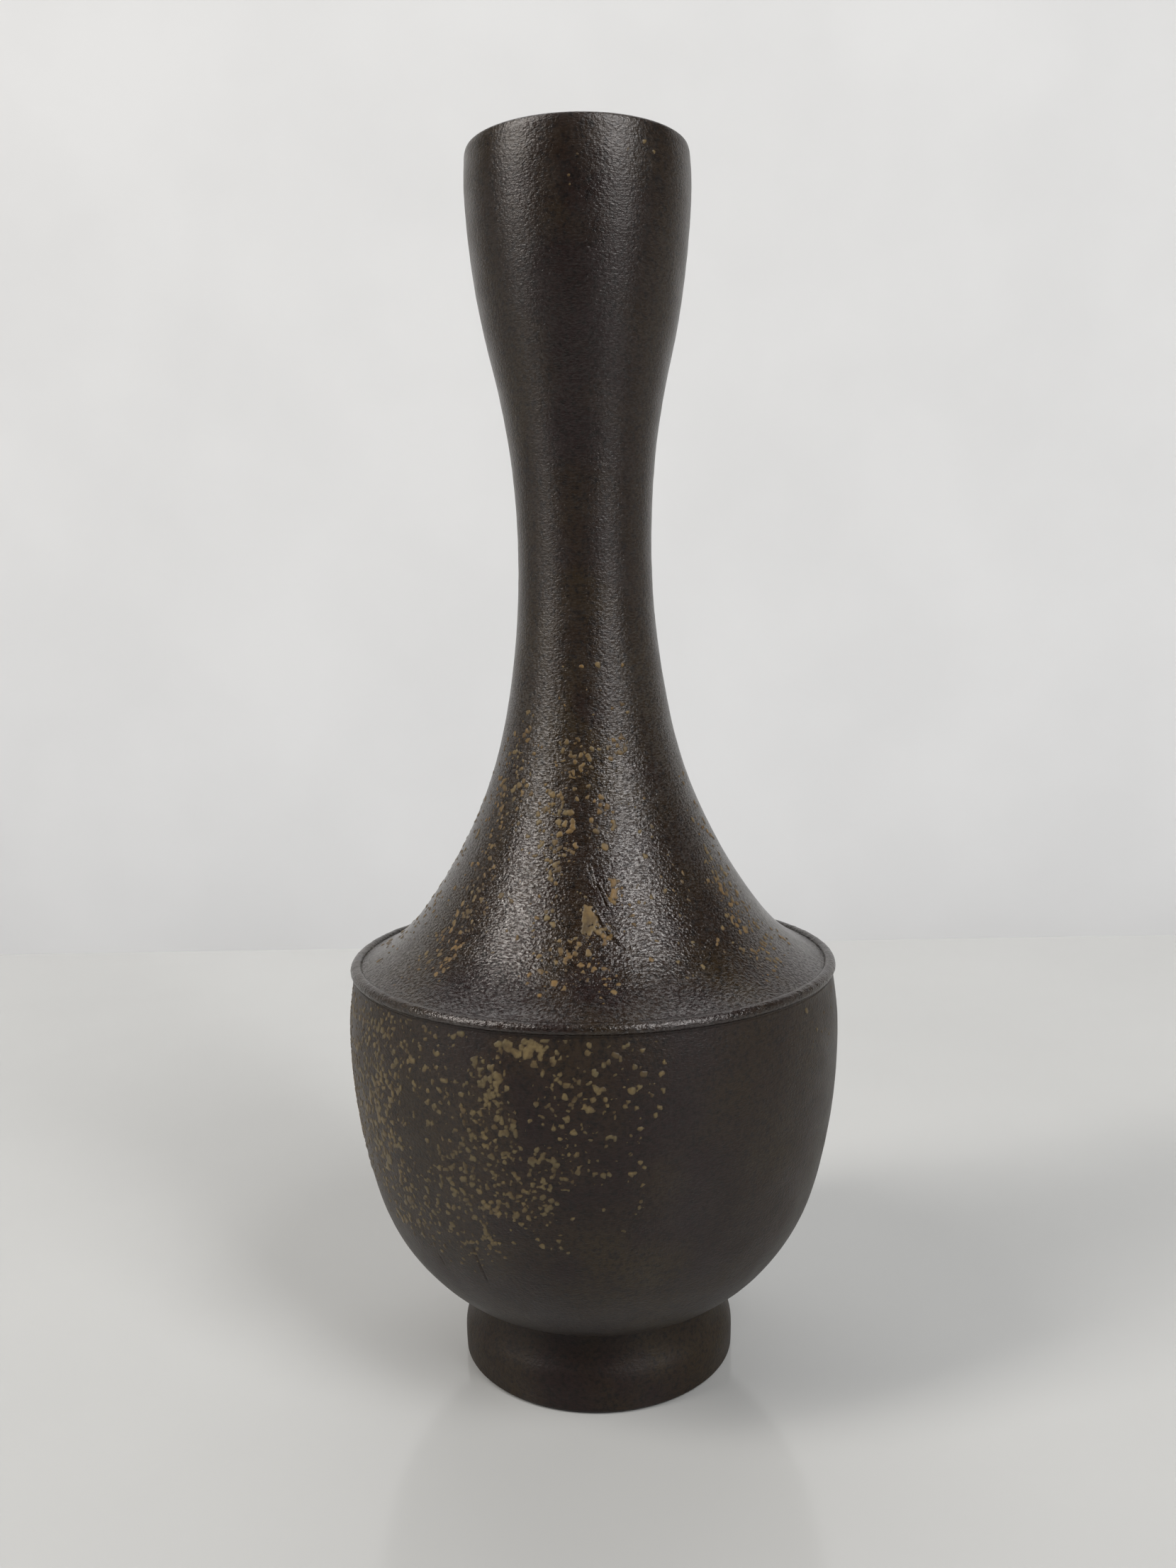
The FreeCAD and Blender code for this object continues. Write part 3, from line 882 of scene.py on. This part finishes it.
def ash_depth(azimuth, height, patches, places, seed):
    """Above 0 where ash lies, growing inwards: drops scattered through space that run into each other."""
    cover = ash_cover(azimuth, height, patches, places)
    wobble = np.stack([noise(places, 0.85 * MM, seed + axis) for axis in range(3)], axis=-1)
    scaled = (places + ASH_WOBBLE * wobble) / ASH_CELL
    cell = np.floor(scaled)
    total = np.zeros(cover.shape)
    for corner in np.ndindex(3, 3, 3):
        near = cell + np.array(corner) - 1
        centre = near + np.stack([random_share(near, seed + 10 + axis) for axis in range(3)], axis=-1)
        away = np.sqrt(np.sum((scaled - centre) ** 2, axis=-1)) * ASH_CELL
        present = np.clip((DROPS_PER_COVER * cover - random_share(near, seed + 20)) / 0.10, 0, 1)
        pooled = 0.10 * cover + 0.32 * smooth_step(0.6, 1.0, cover)
        drop = ASH_CELL * (SMALLEST_DROP + DROP_SPREAD * random_share(near, seed + 30) ** 1.5 + pooled)
        total += np.where(present > 0, np.exp((drop * present - away) / ASH_MERGE), 0)
    return np.where(cover > 0.004, ASH_MERGE * np.log(np.maximum(total, 1e-9)), -1.0)


def shifted(values, row_shift, column_shift, fill):
    """The grid moved by whole steps, so that each place holds its neighbour's value."""
    moved = np.full(values.shape, fill, dtype=float)
    rows, columns = values.shape
    to_rows = slice(max(0, -row_shift), rows - max(0, row_shift))
    to_columns = slice(max(0, -column_shift), columns - max(0, column_shift))
    from_rows = slice(max(0, row_shift), rows + min(0, row_shift))
    from_columns = slice(max(0, column_shift), columns + min(0, column_shift))
    moved[to_rows, to_columns] = values[from_rows, from_columns]
    return moved


def snapped_to_edge(depth, along, azimuth):
    """Moves each grid place just outside a spot onto the spot's edge."""
    pull_along = np.zeros(depth.shape)
    pull_round = np.zeros(depth.shape)
    count = np.zeros(depth.shape)
    for row_shift, column_shift in ((-1, 0), (1, 0), (0, -1), (0, 1), (-1, -1), (-1, 1), (1, -1), (1, 1)):
        near = shifted(depth, row_shift, column_shift, -1.0)
        use = (depth <= 0) & (near > 0)
        share = np.where(use, depth / np.minimum(depth - near, -1e-9), 0)
        pull_along += share * (shifted(along, row_shift, column_shift, 0) - along) * use
        pull_round += share * (shifted(azimuth, row_shift, column_shift, 0) - azimuth) * use
        count += use
    count = np.maximum(count, 1)
    return along + pull_along / count, azimuth + pull_round / count


def join_at_corners(kept):
    """Where two kept squares touch at a corner only, keeps one between them too, so that the flakes meet
    along edges."""
    for _ in range(4):
        falling = kept[:-1, :-1] & kept[1:, 1:] & ~kept[1:, :-1] & ~kept[:-1, 1:]
        kept[1:, :-1] |= falling
        rising = kept[1:, :-1] & kept[:-1, 1:] & ~kept[:-1, :-1] & ~kept[1:, 1:]
        kept[:-1, :-1] |= rising


def make_ash(name, node, wall, relief, patches, seed, material):
    """Thin flat flakes of ash that stand a little proud of the clay and are rooted in it."""
    from_azimuth = math.radians(min(turn - ASH_MARGIN * half for turn, _, half, _, _ in patches))
    to_azimuth = math.radians(max(turn + ASH_MARGIN * half for turn, _, half, _, _ in patches))
    lowest = min(level - ASH_MARGIN * half for _, level, _, half, _ in patches)
    highest = max(level + ASH_MARGIN * half for _, level, _, half, _ in patches)
    low = max(wall.along_at_height(lowest * MM), 0.3 * MM)
    high = min(wall.along_at_height(highest * MM), wall.length - 0.3 * MM)
    widest = wall.radius(np.linspace(low, high, 50)).max()
    lengths = np.linspace(low, high, round((high - low) / ASH_GRID))
    turns = np.linspace(from_azimuth, to_azimuth, round((to_azimuth - from_azimuth) * widest / ASH_GRID))
    along, azimuth = np.meshgrid(lengths, turns, indexing="ij")
    clay, _ = wall_surface(wall, along, azimuth, no_relief)
    depth = ash_depth(azimuth, clay[..., 2], patches, clay, seed)
    along, azimuth = snapped_to_edge(depth, along, azimuth)
    places, normals = wall_surface(wall, along, azimuth, relief)
    swell = smooth_step(0, ASH_ROUNDING, depth)
    top = places + normals * (swell * (ASH_THICKNESS + ASH_EDGE_SINK) - ASH_EDGE_SINK)[..., None]
    root = places - normals * ASH_ROOT
    inside = depth > 0
    kept = inside[:-1, :-1] | inside[1:, :-1] | inside[:-1, 1:] | inside[1:, 1:]
    join_at_corners(kept)
    columns = depth.shape[1]
    layer = depth.size
    faces = []
    edges = {}
    for row, column in np.argwhere(kept):
        corner = int(row) * columns + int(column)
        quad = (corner, corner + 1, corner + columns + 1, corner + columns)
        faces.append(quad)
        faces.append(tuple(layer + index for index in reversed(quad)))
        for start, end in zip(quad, quad[1:] + quad[:1]):
            if (end, start) in edges:
                del edges[(end, start)]
            else:
                edges[(start, end)] = True
    faces += [(start, layer + start, layer + end, end) for start, end in edges]
    corners = np.concatenate([top.reshape(-1, 3), root.reshape(-1, 3)])
    used = np.unique(np.concatenate([np.ravel(face) for face in faces]))
    index = np.zeros(len(corners), dtype=int)
    index[used] = np.arange(len(used))
    faces = [tuple(index[list(face)].tolist()) for face in faces]
    thickness = np.tile(smooth_step(-0.05 * MM, ASH_ROUNDING, depth).ravel(), 2)
    piece = make_object(name, handmade(corners[used]), faces, material, thickness[used])
    replace_node(piece, node)


make_ash("bowl_ash", "ash_drops_bowl", bowl_outside, bowl_relief, BOWL_ASH, 31, bowl_ash)
make_ash("cone_ash", "ash_drops_shoulder", neck_outside, neck_relief, CONE_ASH, 33, cone_ash)
make_ash("mouth_ash", "ash_drops_mouth", neck_outside, neck_relief, MOUTH_ASH, 35, cone_ash)

# ---------------------------------------------------------------- camera, light and surroundings


CAMERA_PLACE = (-0.00164, -1.08691, 0.65088)
CAMERA_TIP = 8.056
CAMERA_ROLL = -0.01687
CAMERA_LENS = 29.97


def make_camera():
    """A phone held close, a little above the middle of the vase and tipped down at it. Its place is in
    heights of the vase, its tip in degrees below level and its roll in radians."""
    camera = bpy.data.objects.new("camera", bpy.data.cameras.new("camera"))
    bpy.context.scene.collection.objects.link(camera)
    place = Vector(CAMERA_PLACE) * HEIGHT
    tip = Matrix.Rotation(math.radians(90 - CAMERA_TIP), 4, "X")
    roll = Matrix.Rotation(CAMERA_ROLL, 4, "Z")
    camera.matrix_world = Matrix.Translation(place) @ tip @ roll
    camera.data.sensor_width = 36
    camera.data.lens = CAMERA_LENS
    camera.data.clip_start = 0.01
    bpy.context.scene.camera = camera


def area_light(name, place, backward, width, height, watts, colour=(1, 1, 1)):
    """A soft rectangular light at a place, with its back towards a direction."""
    light = bpy.data.lights.new(name, "AREA")
    light.shape = "RECTANGLE"
    light.size = width
    light.size_y = height
    light.energy = watts
    light.color = colour
    lamp = bpy.data.objects.new(name, light)
    bpy.context.scene.collection.objects.link(lamp)
    lamp.location = place
    lamp.rotation_euler = Vector(backward).to_track_quat("Z", "Y").to_euler()


def make_softbox(name, azimuth, elevation, distance, width, height, watts, colour=(1, 1, 1)):
    """A light that faces the middle of the vase, placed by its angles in degrees."""
    turn, rise = math.radians(azimuth), math.radians(elevation)
    toward = Vector((math.sin(turn) * math.cos(rise), -math.cos(turn) * math.cos(rise), math.sin(rise)))
    place = Vector((0, 0, HEIGHT / 2)) + toward * distance
    area_light(name, place, toward, width, height, watts, colour)


def make_lights():
    """A tall softbox to either side of the viewer, each with a weaker one below it, a ceiling light behind
    the vase, and two long strips for the backdrop alone, which face away from the vase: one overhead, and
    one out of sight below the table's far edge."""
    make_softbox("softbox_left", -67, 42, 2.4, 0.55, 1.60, 41, (1.0, 0.97, 0.93))
    make_softbox("softbox_left_low", -67, 12, 2.4, 0.67, 1.00, 4)
    make_softbox("softbox_right", 43, 42, 2.4, 0.80, 1.60, 43)
    make_softbox("softbox_right_low", 43, 12, 2.4, 0.93, 1.00, 4)
    make_softbox("ceiling", 180, 62, 1.6, 1.40, 0.80, 7)
    high, low = (0, 0.25 * HEIGHT, 2.4 * HEIGHT), (0, 1.42 * HEIGHT, -0.25 * HEIGHT)
    area_light("backdrop_light_high", high, (0, -1, 0), 2.4, 0.1, 0.5)
    area_light("backdrop_light_low", low, (0, -0.8, -0.6), 2.4, 0.1, 1.7)


def board_material(name, colour, roughness, specular):
    """Pale studio board with a faint unevenness."""
    material, nodes, links, shader = new_material(name)
    plain = object_coordinates(nodes, links)
    cloud = mapped(nodes, links, noise_texture(nodes, links, plain, 0.12, 3), 0.35, 0.65, 0, 1)
    darker = tuple(0.96 * part for part in colour)
    links.new(mixed_colour(nodes, links, cloud, darker, colour), shader.inputs["Base Color"])
    shader.inputs["Roughness"].default_value = roughness
    shader.inputs["Specular IOR Level"].default_value = specular
    return material


def make_board(name, corners, material):
    """A flat board of no thickness for the vase's surroundings."""
    mesh = bpy.data.meshes.new(name)
    mesh.from_pydata(corners, [], [(0, 1, 2, 3)])
    mesh.materials.append(material)
    board = bpy.data.objects.new(name, mesh)
    bpy.context.scene.collection.objects.link(board)


def make_world():
    """A dim room for the light, with a pale ground behind whatever the boards don't cover."""
    world = bpy.data.worlds.new("studio")
    world.use_nodes = True
    nodes, links = world.node_tree.nodes, world.node_tree.links
    room = nodes["Background"]
    room.inputs["Color"].default_value = (0.93, 0.96, 1.0, 1)
    room.inputs["Strength"].default_value = 0.05
    ground = nodes.new("ShaderNodeBackground")
    ground.inputs["Color"].default_value = (0.72, 0.72, 0.71, 1)
    seen = nodes.new("ShaderNodeLightPath")
    mixer = nodes.new("ShaderNodeMixShader")
    links.new(seen.outputs["Is Camera Ray"], mixer.inputs["Fac"])
    links.new(room.outputs["Background"], mixer.inputs[1])
    links.new(ground.outputs["Background"], mixer.inputs[2])
    links.new(mixer.outputs["Shader"], nodes["World Output"].inputs["Surface"])
    bpy.context.scene.world = world


def upright_board(name, left, right, low, high, material):
    """A board that stands on edge between two points of the ground plan, from a low to a high level."""
    corners = [(*left, low), (*right, low), (*right, high), (*left, high)]
    make_board(name, corners, material)


def make_surroundings():
    """A pale glossy table, and a pale backdrop that hangs well behind its far edge. The backdrop is no
    larger than the view needs, so that the sides of the vase mirror the dim room."""
    table = board_material("table_board", (0.50, 0.50, 0.49), 0.13, 0.6)
    wall = board_material("backdrop_board", (0.66, 0.66, 0.66), 0.9, 0.1)
    reach, edge, level = 8 * HEIGHT, 1.33 * HEIGHT, -0.05 * MM
    corners = [(-reach, -reach, level), (reach, -reach, level), (reach, edge, level), (-reach, edge, level)]
    make_board("table", corners, table)
    back, half = 2.66 * HEIGHT, 4.2 * HEIGHT
    upright_board("backdrop", (-half, back), (half, back), -0.8 * HEIGHT, 3.8 * HEIGHT, wall)
    for name, side in (("wing_left", -5 * HEIGHT), ("wing_right", 5 * HEIGHT)):
        upright_board(name, (side, -1.2 * HEIGHT), (side, 2.6 * HEIGHT), -0.8 * HEIGHT, 2.0 * HEIGHT, wall)
    make_world()


make_camera()
make_lights()
make_surroundings()
bpy.context.scene.view_settings.view_transform = "Standard"
